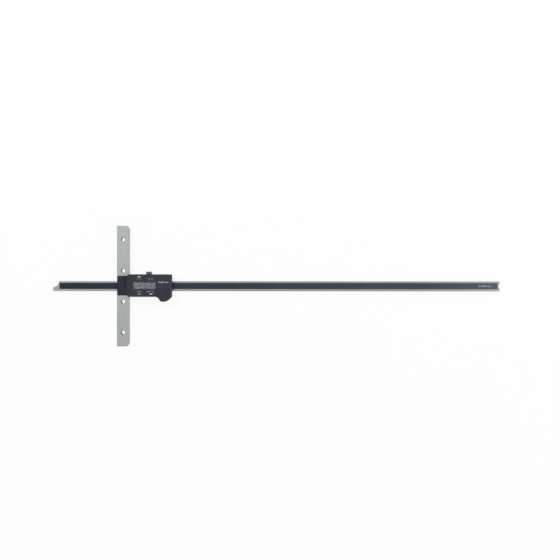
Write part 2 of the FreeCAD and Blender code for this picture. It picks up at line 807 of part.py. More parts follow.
def make_panel_holder():
    """Frame on the board that carries the panel and its two contact strips."""
    x0, x1 = window_x - panel_length / 2, window_x + panel_length / 2
    y0, y1 = window_y - panel_height / 2, window_y + panel_height / 2
    frame = block(x0, x1, y0 - holder_wall, y1 + holder_wall, board_front_z, panel_back_z)
    for y in elastomer_ys():
        frame = frame.cut(block(x0 + holder_wall, x1 - holder_wall, y, y + elastomer_width,
                                board_front_z - beyond, panel_back_z + beyond))
    inner_y0, inner_y1 = y0 + elastomer_width + holder_wall, y1 - elastomer_width - holder_wall
    return frame.cut(block(x0 + holder_wall, x1 - holder_wall, inner_y0, inner_y1,
                           board_front_z - beyond, panel_back_z - holder_wall / 2))


def make_elastomer_strips():
    """Two conductive rubber strips between the board and the panel."""
    x0 = window_x - panel_length / 2 + holder_wall
    x1 = window_x + panel_length / 2 - holder_wall
    return Part.makeCompound([block(x0, x1, y, y + elastomer_width, board_front_z, panel_back_z)
                              for y in elastomer_ys()])


def make_main_board():
    """L-shaped circuit board, cut away for the battery compartment and the screw bosses."""
    x0, x1 = case_start_x + case_wall + board_edge_gap, case_end_x - port_cover_depth - 2 * port_gap
    y0 = -case_lower_edge + case_wall + board_edge_gap / 2
    y1 = case_upper_edge - case_wall - board_edge_gap / 2
    board = block(x0, x1, y0, y1, board_back_z, board_front_z)
    board = board.cut(block(lid_start_x - lid_gap - rail_wall - lid_gap, x1 + beyond,
                            y0 - beyond, compartment_top_y + rail_wall + lid_gap,
                            board_back_z - beyond, board_front_z + beyond))
    corner = case_screw_radius + boss_wall + board_boss_gap
    for x, y in case_screw_places():
        near, far = (x0 - beyond, x + corner) if x < window_x else (x - corner, x1 + beyond)
        board = board.cut(block(near, far, y - corner, y + corner,
                                board_back_z - beyond, board_front_z + beyond))
    for x, y in board_posts_xy:
        board = board.cut(post(x, y, board_back_z - beyond, board_front_z + beyond,
                               board_screw_radius + screw_hole_gap))
    return board


def make_board_screws():
    """Two small screws that hold the board to the posts of the case."""
    length = board_thickness + board_screw_grip
    return Part.makeCompound([
        headed_screw(x, y, board_back_z, 1, board_screw_radius, board_screw_head_radius,
                     board_screw_head_height, length)
        for x, y in board_posts_xy])


def make_controller_chip():
    """Measuring chip under the panel."""
    half_length, half_width = chip_length / 2, chip_width / 2
    return block(window_x - half_length, window_x + half_length, window_y - half_width, window_y + half_width,
                 board_front_z, board_front_z + chip_height)


def make_sensor_board():
    """Pick-up board that reads the scale through a thin air gap."""
    z0 = beam_front_z + sensor_air_gap
    return block(window_x - sensor_length / 2, window_x + sensor_length / 2,
                 -sensor_width / 2, sensor_width / 2, z0, z0 + sensor_board_thickness)


def make_sensor_spacer():
    """Insulating block that carries the pick-up board below the main board."""
    return block(window_x - sensor_length / 2, window_x + sensor_length / 2,
                 -sensor_width / 2, sensor_width / 2,
                 beam_front_z + sensor_air_gap + sensor_board_thickness, board_back_z)


def cell_back_z():
    """Level of the button cell's underside."""
    return case_back_z + holder_floor + contact_thickness


def make_battery():
    """Button cell with a stepped negative cap facing the frame."""
    step_z = cell_back_z() + cell_cap_height
    can = post(cell_x, cell_y, step_z, cell_back_z() + cell_thickness, cell_radius)
    cap = post(cell_x, cell_y, cell_back_z(), step_z, cell_radius - cell_seal_width)
    return join([can, cap])


def holder_half():
    """Half the width of the square battery holder."""
    return cell_radius + cell_side_gap + holder_ring_wall


def make_battery_holder():
    """Square cup round the button cell, open towards the lid, with a notch for a fingernail."""
    half, inner = holder_half(), cell_radius + cell_side_gap
    top_z = cell_back_z() + holder_height
    cup = block(cell_x - half, cell_x + half, cell_y - half, cell_y + half, case_back_z, top_z)
    cup = cup.cut(post(cell_x, cell_y, case_back_z + holder_floor, case_front_z, inner))
    half_notch = holder_notch_width / 2
    return cup.cut(block(cell_x - 2 * half, cell_x, cell_y - half_notch, cell_y + half_notch,
                         case_back_z + holder_floor, case_front_z))


def make_negative_contact():
    """Flat leaf under the cell."""
    half = contact_width / 2
    return block(cell_x - cell_radius, cell_x + cell_radius / 2, cell_y - half, cell_y + half,
                 case_back_z + holder_floor, cell_back_z())


def make_positive_contact():
    """Curved leaf beside the cell, on the holder's inner wall."""
    outer = cell_radius + cell_side_gap
    half = positive_contact_width / 2
    ring = post(cell_x, cell_y, case_back_z + holder_floor, cell_back_z() + holder_height, outer)
    ring = ring.cut(post(cell_x, cell_y, case_back_z, case_front_z, outer - contact_thickness))
    return ring.common(block(cell_x, cell_x + outer, cell_y - half, cell_y + half, case_back_z, case_front_z))


def make_output_connector():
    """Socket block on the board behind the output port."""
    x1 = case_end_x - port_cover_depth - connector_gap
    half = port_width / 2 - port_gap
    return block(x1 - connector_depth, x1, port_y - half, port_y + half,
                 board_front_z, board_front_z + connector_height)


def build():
    """Every sub-part by node name."""
    parts = {
        "beam": make_beam(),
        "scale_board": make_scale_board(),
        "scale_film": make_scale_film(),
        "stop_pins": make_stop_pins(),
        "base": make_base(),
        "nose_screws": make_nose_screws(),
        "slider_frame": make_slider_frame(),
        "rear_plate": make_rear_plate(),
        "gib": make_gib(),
        "gib_screws": make_gib_screws(),
        "clamp_shoe": make_clamp_shoe(),
        "clamp_screw": make_clamp_screw(),
        "front_cover": make_front_cover(),
        "display_case": make_display_case(),
        "case_screws": make_case_screws(),
        "battery_lid": make_battery_lid(),
        "port_cover": make_port_cover(),
        "display_lens": make_display_lens(),
        "display_panel": make_display_panel(),
        "panel_holder": make_panel_holder(),
        "elastomer_strips": make_elastomer_strips(),
        "main_board": make_main_board(),
        "board_screws": make_board_screws(),
        "controller_chip": make_controller_chip(),
        "key_switches": make_key_switches(),
        "sensor_spacer": make_sensor_spacer(),
        "sensor_board": make_sensor_board(),
        "battery": make_battery(),
        "battery_holder": make_battery_holder(),
        "negative_contact": make_negative_contact(),
        "positive_contact": make_positive_contact(),
        "output_connector": make_output_connector(),
    }
    for name, (x, y) in button_places():
        parts[name] = make_button(x, y)
    return parts


os.makedirs("parts", exist_ok=True)
for node, shape in build().items():
    shape.exportStep("parts/" + node + ".step")
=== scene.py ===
"""Looks for a 600 mm digital depth gauge lying on its back.

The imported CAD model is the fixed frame. This script dresses it: a material for every node, and the
small forms that the solids leave out, such as button caps, knurling, screw recesses, the display's
segments and the prints.
"""
import json
import math

import bmesh
import bpy
from mathutils import Matrix, Vector


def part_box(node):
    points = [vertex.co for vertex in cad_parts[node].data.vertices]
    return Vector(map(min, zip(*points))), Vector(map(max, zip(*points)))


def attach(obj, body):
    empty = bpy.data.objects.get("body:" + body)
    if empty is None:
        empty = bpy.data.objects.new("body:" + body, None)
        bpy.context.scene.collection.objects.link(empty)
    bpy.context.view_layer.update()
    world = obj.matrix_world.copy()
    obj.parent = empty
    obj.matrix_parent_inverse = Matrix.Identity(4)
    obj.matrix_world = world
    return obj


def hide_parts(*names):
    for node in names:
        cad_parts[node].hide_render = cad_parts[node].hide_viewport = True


MM = 0.001

# The photograph's camera: straight above and turned a little about its axis, with its film's side and
# the field that it covers at the level of the base's front face.
CAMERA_X = 0.2637
CAMERA_Y = 0.0101
CAMERA_ABOVE_FRONT = 1.9
CAMERA_ROLL = math.radians(0.05)
FIELD_WIDTH = 0.9057
FILM_SIDE = 36.0

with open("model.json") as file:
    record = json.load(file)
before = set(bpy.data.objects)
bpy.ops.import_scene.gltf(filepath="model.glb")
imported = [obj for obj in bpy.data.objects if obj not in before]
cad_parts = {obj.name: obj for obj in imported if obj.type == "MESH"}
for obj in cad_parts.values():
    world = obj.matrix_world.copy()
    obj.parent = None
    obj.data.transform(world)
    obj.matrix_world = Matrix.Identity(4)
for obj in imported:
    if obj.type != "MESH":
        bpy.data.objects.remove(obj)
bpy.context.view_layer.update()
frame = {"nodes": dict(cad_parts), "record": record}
record = frame["record"]


def srgb(red, green, blue):
    """Linear colour with alpha from 8-bit screen values."""
    def linear(value):
        c = value / 255
        return c / 12.92 if c <= 0.04045 else ((c + 0.055) / 1.055) ** 2.4
    return (linear(red), linear(green), linear(blue), 1.0)


def scaled(colour, factor):
    """The same colour, brighter or darker."""
    return tuple(c * factor for c in colour[:3]) + (1.0,)


# A noise texture's own levels, between which its clouds or its grain count as none and as full.
CLOUDS = (0.3, 0.7)
GRAIN = (0.35, 0.65)
FULL = (0.0, 1.0)


class Surface:
    """A node material under construction: a Principled shader and the textures that feed it."""

    def __init__(self, name, metallic=0.0, roughness=0.5):
        self.material = bpy.data.materials.new(name)
        self.material.use_nodes = True
        self.tree = self.material.node_tree
        self.tree.nodes.clear()
        self.shader = self.add("ShaderNodeBsdfPrincipled")
        self.shader.inputs["Metallic"].default_value = metallic
        self.shader.inputs["Roughness"].default_value = roughness
        self.output = self.add("ShaderNodeOutputMaterial")
        self.link(self.shader.outputs["BSDF"], self.output.inputs["Surface"])
        self.coords = self.add("ShaderNodeTexCoord").outputs["Object"]

    def add(self, kind):
        """New node of a kind."""
        return self.tree.nodes.new(kind)

    def link(self, source, target):
        """Joins an output to an input."""
        self.tree.links.new(source, target)

    def placed(self, per_metre):
        """Object coordinates, stretched to so many waves per metre: one number, or one along each axis."""
        if isinstance(per_metre, float):
            per_metre = (per_metre,) * 3
        mapping = self.add("ShaderNodeMapping")
        mapping.inputs["Scale"].default_value = per_metre
        self.link(self.coords, mapping.inputs["Vector"])
        return mapping.outputs["Vector"]

    def noise(self, per_metre, detail=3.0, roughness=0.55):
        """Noise texture of so many waves per metre."""
        node = self.add("ShaderNodeTexNoise")
        node.inputs["Scale"].default_value = 1.0
        node.inputs["Detail"].default_value = detail
        node.inputs["Roughness"].default_value = roughness
        self.link(self.placed(per_metre), node.inputs["Vector"])
        return node.outputs["Fac"]

    def cells(self, per_metre, feature="F1"):
        """Distance field of a cell pattern."""
        node = self.add("ShaderNodeTexVoronoi")
        node.feature = feature
        node.inputs["Scale"].default_value = 1.0
        self.link(self.placed(per_metre), node.inputs["Vector"])
        return node.outputs["Distance"]

    def ranged(self, value, source_low, source_high, low, high):
        """A value between two levels of its source, spread from low to high."""
        node = self.add("ShaderNodeMapRange")
        node.inputs["From Min"].default_value = source_low
        node.inputs["From Max"].default_value = source_high
        node.inputs["To Min"].default_value = low
        node.inputs["To Max"].default_value = high
        self.link(value, node.inputs["Value"])
        return node.outputs["Result"]

    def mixed(self, factor, low, high):
        """Colour between two colours or colour sockets."""
        node = self.add("ShaderNodeMix")
        node.data_type = "RGBA"
        self.link(factor, node.inputs["Factor"])
        for socket, colour in ((node.inputs[6], low), (node.inputs[7], high)):
            if isinstance(colour, tuple):
                socket.default_value = colour
            else:
                self.link(colour, socket)
        return node.outputs[2]

    def colour(self, socket):
        """Gives the shader its colour."""
        self.link(socket, self.shader.inputs["Base Color"])

    def rough(self, value, low, high):
        """Gives the shader a roughness that follows a texture's clouds."""
        self.link(self.ranged(value, *CLOUDS, low, high), self.shader.inputs["Roughness"])

    def bump(self, height, depth, strength=1.0):
        """Relief of a given depth in metres, on top of any relief given before."""
        node = self.add("ShaderNodeBump")
        node.inputs["Strength"].default_value = strength
        node.inputs["Distance"].default_value = depth
        self.link(height, node.inputs["Height"])
        normal = self.shader.inputs["Normal"]
        if normal.is_linked:
            self.link(normal.links[0].from_socket, node.inputs["Normal"])
        self.link(node.outputs["Normal"], normal)


# Painted shade in the base's drilled holes: their walls are dull and painted darker than the ground faces,
# standing in for the shade inside the holes.
HOLE_PITCH = 50.0 * MM
HOLE_LINE_X = 10.0 * MM
HOLE_WALL_RADIUS = 3.33 * MM


def hole_shade_mask(surface):
    """1 on the walls of the base's four holes, where shade is painted, and 0 elsewhere."""
    apart = surface.add("ShaderNodeSeparateXYZ")
    surface.link(surface.coords, apart.inputs["Vector"])
    # The holes are evenly spaced on both sides of Y = 0, so one hole's distance stands for all four.
    along = surface.add("ShaderNodeMath")
    along.operation = "WRAP"
    along.inputs[1].default_value = HOLE_PITCH
    along.inputs[2].default_value = 0.0
    surface.link(apart.outputs["Y"], along.inputs[0])
    flat = surface.add("ShaderNodeCombineXYZ")
    surface.link(apart.outputs["X"], flat.inputs["X"])
    surface.link(along.outputs["Value"], flat.inputs["Y"])
    distance = surface.add("ShaderNodeVectorMath")
    distance.operation = "DISTANCE"
    distance.inputs[1].default_value = (HOLE_LINE_X, HOLE_PITCH / 2, 0.0)
    surface.link(flat.outputs["Vector"], distance.inputs[0])
    inside = surface.add("ShaderNodeMath")
    inside.operation = "LESS_THAN"
    inside.inputs[1].default_value = HOLE_WALL_RADIUS
    surface.link(distance.outputs["Value"], inside.inputs[0])
    return inside.outputs["Value"]


# Grinding lines in waves per metre, across and along their run.
LINES_ACROSS = 5200.0
LINES_ALONG = 45.0


def ground_steel(name, colour, along, roughness, hole_shade_colour=None):
    """Ground steel whose fine lines run along one axis, with a cloudy tone and a few scratches.

    Where a colour is given for it, the walls of the base's holes are dull and take that colour as painted
    shade.
    """
    surface = Surface(name, metallic=1.0, roughness=roughness)
    fine = [LINES_ACROSS] * 3
    fine["XYZ".index(along)] = LINES_ALONG
    lines = surface.noise(tuple(fine), detail=4.0)
    clouds = surface.noise(22.0, detail=2.0)
    toned = surface.mixed(surface.ranged(clouds, *CLOUDS, *FULL), scaled(colour, 0.93), scaled(colour, 1.05))
    lined = surface.mixed(surface.ranged(lines, *GRAIN, *FULL), scaled(colour, 0.88), toned)
    if hole_shade_colour is not None:
        # Painted shade: the hole walls' colour is darkened to stand in for the shade in the holes.
        shaded_wall = hole_shade_mask(surface)
        lined = surface.mixed(shaded_wall, lined, hole_shade_colour)
        surface.link(surface.ranged(shaded_wall, *FULL, 1.0, 0.0), surface.shader.inputs["Metallic"])
        surface.shader.inputs["Specular IOR Level"].default_value = 0.0
    surface.colour(lined)
    surface.rough(lines, low=roughness - 0.06, high=roughness + 0.1)
    surface.bump(lines, depth=0.004 * MM)
    scratches = surface.noise((900.0, 140.0, 900.0), detail=1.0)
    surface.bump(surface.ranged(scratches, 0.68, 0.72, *FULL), depth=0.003 * MM)
    return surface.material


def turned_metal(name, colour, roughness=0.28, grain=2600.0):
    """Small machined metal part: fine grain, a little uneven tone and tarnish in patches."""
    surface = Surface(name, metallic=1.0, roughness=roughness)
    patches = surface.noise(260.0)
    surface.colour(surface.mixed(surface.ranged(patches, *GRAIN, *FULL), scaled(colour, 0.8), colour))
    fine = surface.noise(grain)
    surface.rough(fine, low=roughness - 0.05, high=roughness + 0.12)
    surface.bump(fine, depth=0.006 * MM)
    return surface.material


def moulded_plastic(name, colour, roughness, grain=2600.0, depth=0.02 * MM, tone=0.1, specular=0.5):
    """Moulded plastic with a spark-eroded grain, faint clouds and dust-fine speckles.

    The grain is in waves per metre, depth is its relief, and tone is how far the clouds stray from the
    colour.
    """
    surface = Surface(name, roughness=roughness)
    surface.shader.inputs["Specular IOR Level"].default_value = specular
    clouds = surface.noise(60.0, detail=4.0)
    speckles = surface.noise(1900.0, detail=1.0)
    toned = surface.mixed(surface.ranged(clouds, *CLOUDS, *FULL),
                          scaled(colour, 1 - tone), scaled(colour, 1 + tone))
    surface.colour(surface.mixed(surface.ranged(speckles, 0.55, 0.8, 0.0, 0.5), toned, scaled(colour, 1.5)))
    surface.rough(clouds, low=roughness - 0.06, high=roughness + 0.06)
    surface.bump(surface.cells(grain, "SMOOTH_F1"), depth, strength=0.6)
    return surface.material


# Painted reflection on the scale's film: it is paler towards the beam's far end, slowly at first and faster
# from the knee on.
FILM_REFLECTION_NEAR = srgb(23, 31, 44)
FILM_REFLECTION_KNEE = srgb(55, 66, 78)
FILM_REFLECTION_FAR = srgb(72, 82, 95)
FILM_REFLECTION_START_X = -0.1
FILM_REFLECTION_KNEE_X = 0.51
FILM_REFLECTION_END_X = 0.62
FILM_DEEP_TONE = 0.85
FILM_PALE_TONE = 1.25


def scale_film_material():
    """Dark laminated film, smooth, slightly wavy and finely streaked, with a painted reflection towards the
    far end.
    """
    surface = Surface("scale_film_reflection_look", roughness=0.2)
    surface.shader.inputs["Specular IOR Level"].default_value = 0.2
    apart = surface.add("ShaderNodeSeparateXYZ")
    surface.link(surface.coords, apart.inputs["Vector"])
    # Painted reflection: the film's colour pales along X towards the beam's far end.
    reflection_slow = surface.ranged(apart.outputs["X"], FILM_REFLECTION_START_X, FILM_REFLECTION_KNEE_X, *FULL)
    reflection_fast = surface.ranged(apart.outputs["X"], FILM_REFLECTION_KNEE_X, FILM_REFLECTION_END_X, *FULL)
    streaks = surface.noise((7.0, 2400.0, 2400.0), detail=3.0)
    clouds = surface.noise(14.0)

    def film_colour(tone):
        near_reflection_part = surface.mixed(reflection_slow, scaled(FILM_REFLECTION_NEAR, tone), scaled(FILM_REFLECTION_KNEE, tone))
        return surface.mixed(reflection_fast, near_reflection_part, scaled(FILM_REFLECTION_FAR, tone))

    deep, pale = film_colour(FILM_DEEP_TONE), film_colour(FILM_PALE_TONE)
    toned = surface.mixed(surface.ranged(clouds, *CLOUDS, 0.0, 0.6), deep, pale)
    surface.colour(surface.mixed(surface.ranged(streaks, 0.45, 0.75, 0.0, 0.7), toned, pale))
    surface.rough(streaks, low=0.17, high=0.3)
    surface.bump(surface.noise((60.0, 220.0, 220.0), detail=1.0), depth=0.02 * MM)
    return surface.material


def laminate_material():
    """Glass-fibre board: green mask over a weave, with tone in bands like tracks."""
    surface = Surface("laminate_look", roughness=0.38)
    weave_x = surface.noise((2400.0, 260.0, 400.0), detail=0.0)
    weave_y = surface.noise((260.0, 2400.0, 400.0), detail=0.0)
    tracks = surface.cells((420.0, 180.0, 180.0))
    toned = surface.mixed(surface.ranged(weave_x, 0.4, 0.6, *FULL), srgb(24, 70, 44), srgb(32, 84, 54))
    surface.colour(surface.mixed(surface.ranged(tracks, 0.2, 0.3, 0.4, 0.0), toned, srgb(48, 112, 70)))
    surface.bump(weave_y, depth=0.01 * MM)
    return surface.material


def lens_material():
    """Clear window, nearly smooth, with the faintest wipe marks. It casts no shadow on the panel."""
    surface = Surface("clear_lens_look", roughness=0.01)
    surface.shader.inputs["Base Color"].default_value = (0.97, 0.98, 0.98, 1.0)
    surface.shader.inputs["Transmission Weight"].default_value = 1.0
    surface.shader.inputs["IOR"].default_value = 1.49
    surface.shader.inputs["Specular IOR Level"].default_value = 0.2
    wipes = surface.noise((160.0, 900.0, 160.0), detail=2.0)
    surface.rough(wipes, low=0.0, high=0.025)
    path = surface.add("ShaderNodeLightPath")
    clear = surface.add("ShaderNodeBsdfTransparent")
    mix = surface.add("ShaderNodeMixShader")
    surface.link(path.outputs["Is Shadow Ray"], mix.inputs["Fac"])
    surface.link(surface.shader.outputs["BSDF"], mix.inputs[1])
    surface.link(clear.outputs["BSDF"], mix.inputs[2])
    surface.link(mix.outputs["Shader"], surface.output.inputs["Surface"])
    return surface.material


def display_material():
    """Grey reflector of the liquid-crystal panel, cloudy and finely grained."""
    surface = Surface("lcd_grey_look", roughness=0.5)
    surface.shader.inputs["Specular IOR Level"].default_value = 0.2
    grain = surface.noise(5200.0, detail=1.0)
    clouds = surface.noise((70.0, 120.0, 70.0), detail=2.0)
    toned = surface.mixed(surface.ranged(clouds, *CLOUDS, *FULL), srgb(67, 70, 73), srgb(79, 82, 85))
    surface.colour(surface.mixed(surface.ranged(grain, *GRAIN, *FULL), toned, srgb(85, 88, 91)))
    return surface.material


def ink_material(name, colour):
    """Printed ink, slightly uneven in cover."""
    surface = Surface(name, roughness=0.55)
    cover = surface.noise(3200.0, detail=2.0)
    surface.colour(surface.mixed(surface.ranged(cover, *GRAIN, *FULL), scaled(colour, 0.82), colour))
    surface.bump(cover, depth=0.004 * MM)
    return surface.material


STEEL = srgb(155, 158, 157)
looks = {
    "beam_steel": ground_steel("beam_steel_look", srgb(149, 150, 152), along="X", roughness=0.26),
    # The base's hole walls take a dark colour as painted shade.
    "base_steel": ground_steel("base_steel_hole_shade_look", STEEL, along="Y", roughness=0.34, hole_shade_colour=srgb(52, 50, 50)),
    "slider_steel": ground_steel("slider_steel_look", scaled(STEEL, 0.95), along="X", roughness=0.32),
    "screw_steel": turned_metal("screw_steel_look", srgb(160, 161, 163)),
    "dark_steel": turned_metal("dark_steel_look", srgb(112, 115, 119), roughness=0.36),
    "bronze": turned_metal("bronze_look", srgb(190, 158, 98), roughness=0.34),
    "spring_steel": turned_metal("spring_steel_look", srgb(186, 184, 176), roughness=0.22),
    "cell_steel": turned_metal("cell_steel_look", srgb(196, 197, 198), roughness=0.2, grain=4000.0),
    "laminate": laminate_material(),
    "scale_film": scale_film_material(),
    "cover_black": moulded_plastic("cover_black_look", srgb(24, 33, 44), roughness=0.42, grain=3600.0,
                                   depth=0.008 * MM, tone=0.06, specular=0.2),
    "case_plastic": moulded_plastic("case_plastic_look", srgb(28, 30, 42), roughness=0.38, specular=0.32),
    "port_plastic": moulded_plastic("port_plastic_look", srgb(26, 28, 39), roughness=0.46, grain=1800.0,
                                    depth=0.03 * MM, specular=0.32),
    "clear_lens": lens_material(),
    "lcd_grey": display_material(),
    "white_plastic": moulded_plastic("white_plastic_look", srgb(205, 205, 200), roughness=0.45, grain=2200.0,
                                     depth=0.01 * MM, tone=0.04),
    "contact_rubber": moulded_plastic("contact_rubber_look", srgb(74, 74, 78), roughness=0.75, grain=1500.0,
                                      tone=0.08),
    "chip_resin": moulded_plastic("chip_resin_look", srgb(36, 36, 38), roughness=0.62, grain=3000.0,
                                  depth=0.012 * MM, tone=0.05),
    "button_green": moulded_plastic("button_green_look", srgb(90, 136, 132), roughness=0.4, grain=2400.0,
                                    depth=0.008 * MM, tone=0.05),
    "button_pale": moulded_plastic("button_pale_look", srgb(158, 163, 169), roughness=0.4, grain=2400.0,
                                   depth=0.008 * MM, tone=0.04),
}
ink_pale = ink_material("ink_pale_look", srgb(172, 178, 190))
ink_grey = ink_material("ink_grey_look", srgb(142, 156, 158))
segment_dark = ink_material("segment_dark_look", srgb(26, 28, 32))
contact_gold = turned_metal("contact_gold_look", srgb(212, 178, 104), roughness=0.24)

for subpart in record["subparts"]:
    for material_slot in frame["nodes"][subpart["node"]].material_slots:
        material_slot.material = looks[subpart["material_slot"]]


def piece(name, mesh, look, body, smooth_angle=None):
    """A piece that rides on a body. Its faces are smooth up to smooth_angle, in degrees, or all flat."""
    item = bpy.data.objects.new(name, mesh)
    bpy.context.scene.collection.objects.link(item)
    mesh.materials.append(look)
    if smooth_angle is not None:
        for polygon in mesh.polygons:
            polygon.use_smooth = True
        mesh.set_sharp_from_angle(angle=math.radians(smooth_angle))
    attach(item, body)
    return item


def mesh_from(build, name):
    """Mesh of what a function builds in an empty bmesh."""
    shape = bmesh.new()
    build(shape)
    bmesh.ops.recalc_face_normals(shape, faces=shape.faces)
    mesh = bpy.data.meshes.new(name)
    shape.to_mesh(mesh)
    shape.free()
    return mesh


def loft(shape, rings):
    """Skin over closed rings of points, capped at both ends."""
    rows = [[shape.verts.new(point) for point in ring] for ring in rings]
    for low, high in zip(rows, rows[1:]):
        for k in range(len(low)):
            n = (k + 1) % len(low)
            shape.faces.new((low[k], low[n], high[n], high[k]))
    shape.faces.new(list(reversed(rows[0])))
    shape.faces.new(rows[-1])


def centre_of(node):
    """Middle of a node's box."""
    low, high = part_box(node)
    return (low + high) / 2


# Push buttons: a cap with soft edges and a shallow dish, its flange and its stem, all one moulding.
CAP_LENGTH = 5.6 * MM
CAP_WIDTH = 2.1 * MM
CAP_CORNER = 0.9 * MM
CAP_EDGE = 0.3 * MM
CAP_DISH = 0.12 * MM
FLANGE_BORDER = 0.5 * MM
FLANGE_THICKNESS = 0.9 * MM
FLANGE_BELOW_TOP = 2.3 * MM
STEM_WIDTH = 1.6 * MM
STEM_CORNER = 0.1 * MM
CORNER_STEPS = 6
EDGE_STEPS = 5


def rounded_ring(x, y, z, length, width, radius):
    """Points round a rectangle with round corners."""
    ring = []
    for quarter, (sx, sy) in enumerate(((1, 1), (-1, 1), (-1, -1), (1, -1))):
        for step in range(CORNER_STEPS + 1):
            turn = math.pi / 2 * (quarter + step / CORNER_STEPS)
            ring.append(Vector((x + sx * (length / 2 - radius) + radius * math.cos(turn),
                                y + sy * (width / 2 - radius) + radius * math.sin(turn), z)))
    return ring


def make_button(node, slot):
    """Button with a dished cap, in its node's place."""
    low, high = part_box(node)
    x, y = (low.x + high.x) / 2, (low.y + high.y) / 2
    flange_top = high.z - FLANGE_BELOW_TOP
    flange_bottom = flange_top - FLANGE_THICKNESS
    stem = (STEM_WIDTH, STEM_WIDTH, STEM_CORNER)
    flange = (CAP_LENGTH + 2 * FLANGE_BORDER, CAP_WIDTH + 2 * FLANGE_BORDER, STEM_CORNER)
    levels = [(low.z,) + stem, (flange_bottom,) + stem, (flange_bottom,) + flange, (flange_top,) + flange,
              (flange_top, CAP_LENGTH, CAP_WIDTH, CAP_CORNER)]
    for step in range(EDGE_STEPS + 1):
        turn = math.pi / 2 * step / EDGE_STEPS
        inward = CAP_EDGE * (1 - math.cos(turn))
        levels.append((high.z - CAP_EDGE + CAP_EDGE * math.sin(turn), CAP_LENGTH - 2 * inward,
                       CAP_WIDTH - 2 * inward, CAP_CORNER - inward))
    inward = 2 * CAP_EDGE
    levels.append((high.z - CAP_DISH, CAP_LENGTH - 2 * inward, CAP_WIDTH - 2 * inward, CAP_CORNER - inward))
    rings = [rounded_ring(x, y, z, length, width, radius) for z, length, width, radius in levels]
    mesh = mesh_from(lambda shape: loft(shape, rings), node + "_cap")
    cap = piece(node + "_cap", mesh, looks[slot], node, smooth_angle=40)
    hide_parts(node)


make_button("power_button", "button_green")
make_button("zero_button", "button_pale")
make_button("unit_button", "button_pale")


# Clamp screw: a fine straight knurl between two chamfers, a low crown with a dished middle, and a plain
# collar and shank. The crown and the dish are shares of the head's radius.
KNURL_TEETH = 40
KNURL_DEPTH = 0.28 * MM
KNURL_STEPS = 4
HEAD_CHAMFER = 0.55 * MM
HEAD_DOME = 0.25 * MM
HEAD_HEIGHT = 4.4 * MM
CROWN_SHARE = 0.72
DISH_RIM_SHARE = 0.4
DISH_FLOOR_SHARE = 0.3
COLLAR_RADIUS = 3.0 * MM
COLLAR_HEIGHT = 0.8 * MM
SHANK_RADIUS = 1.5 * MM


def make_clamp_screw():
    """Knurled thumb screw, lofted along Y from its tip to its crown."""
    low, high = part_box("clamp_screw")
    centre = (low + high) / 2
    radius = (high.x - low.x) / 2
    head_y = high.y - HEAD_HEIGHT
    top_y = high.y - HEAD_DOME
    levels = [
        (low.y, SHANK_RADIUS - HEAD_DOME, 0), (low.y + HEAD_DOME, SHANK_RADIUS, 0),
        (head_y - COLLAR_HEIGHT, SHANK_RADIUS, 0), (head_y - COLLAR_HEIGHT, COLLAR_RADIUS, 0),
        (head_y, COLLAR_RADIUS, 0), (head_y, radius - HEAD_CHAMFER, 0),
        (head_y + HEAD_CHAMFER, radius, 1), (top_y - HEAD_CHAMFER, radius, 1),
        (top_y, radius - HEAD_CHAMFER, 0), (top_y + HEAD_DOME / 2, radius * CROWN_SHARE, 0),
        (high.y, radius * DISH_RIM_SHARE, 0), (high.y - HEAD_DOME, radius * DISH_FLOOR_SHARE, 0),
    ]
    steps = KNURL_TEETH * KNURL_STEPS

    def ring(y, r, knurled):
        """Points round the screw at y, where knurled is 1 for valleys of full depth and 0 for none."""
        points = []
        for k in range(steps):
            turn = 2 * math.pi * k / steps
            valley = abs((k % KNURL_STEPS) / KNURL_STEPS * 2 - 1)
            depth = KNURL_DEPTH * valley * knurled
            points.append(Vector((centre.x + (r - depth) * math.cos(turn), y,
                                  centre.z + (r - depth) * math.sin(turn))))
        return points

    mesh = mesh_from(lambda shape: loft(shape, [ring(*level) for level in levels]), "clamp_screw_knurled")
    screw = piece("clamp_screw_knurled", mesh, looks["dark_steel"], "clamp_screw",
                  smooth_angle=25)
    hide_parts("clamp_screw")


make_clamp_screw()


# Case screws: round heads with a cross recess, seen from behind, plain shanks and a thread at the tip.
SCREW_RADIUS = 1.0 * MM
SCREW_HEAD_RADIUS = 1.9 * MM
SCREW_HEAD_HEIGHT = 1.2 * MM
SCREW_HEAD_EDGE = 0.5 * MM
RECESS_LENGTH = 2.1 * MM
RECESS_WIDTH = 0.5 * MM
RECESS_DEPTH = 0.75 * MM
THREAD_DEPTH = 0.12 * MM
THREAD_PITCH = 0.45 * MM
THREAD_LENGTH = 3.2 * MM
TIP_RADIUS = 0.6 * MM
FILL_STEPS = 4
NEARLY_NONE = 1e-6


def screw_turns():
    """Turns round a screw, one of them at every corner of its cross recess."""
    arm = math.atan2(RECESS_WIDTH, RECESS_LENGTH)
    fill = (math.pi / 4 - arm) / FILL_STEPS
    half = [0.0] + [arm + fill * k for k in range(FILL_STEPS + 1)]
    quarter = half + [math.pi / 2 - turn for turn in reversed(half[1:-1])]
    return [math.pi / 2 * k + turn for k in range(4) for turn in quarter]


SCREW_TURNS = screw_turns()


def round_ring(x, y, z, radius):
    """Points round a circle."""
    return [Vector((x + radius * math.cos(turn), y + radius * math.sin(turn), z)) for turn in SCREW_TURNS]


def cross_ring(x, y, z):
    """Points round a screw's cross recess."""
    ring = []
    for turn in SCREW_TURNS:
        short, long = sorted((abs(math.cos(turn)), abs(math.sin(turn))))
        reach = min(RECESS_LENGTH / 2 / long, RECESS_WIDTH / 2 / max(short, NEARLY_NONE))
        ring.append(Vector((x + reach * math.cos(turn), y + reach * math.sin(turn), z)))
    return ring


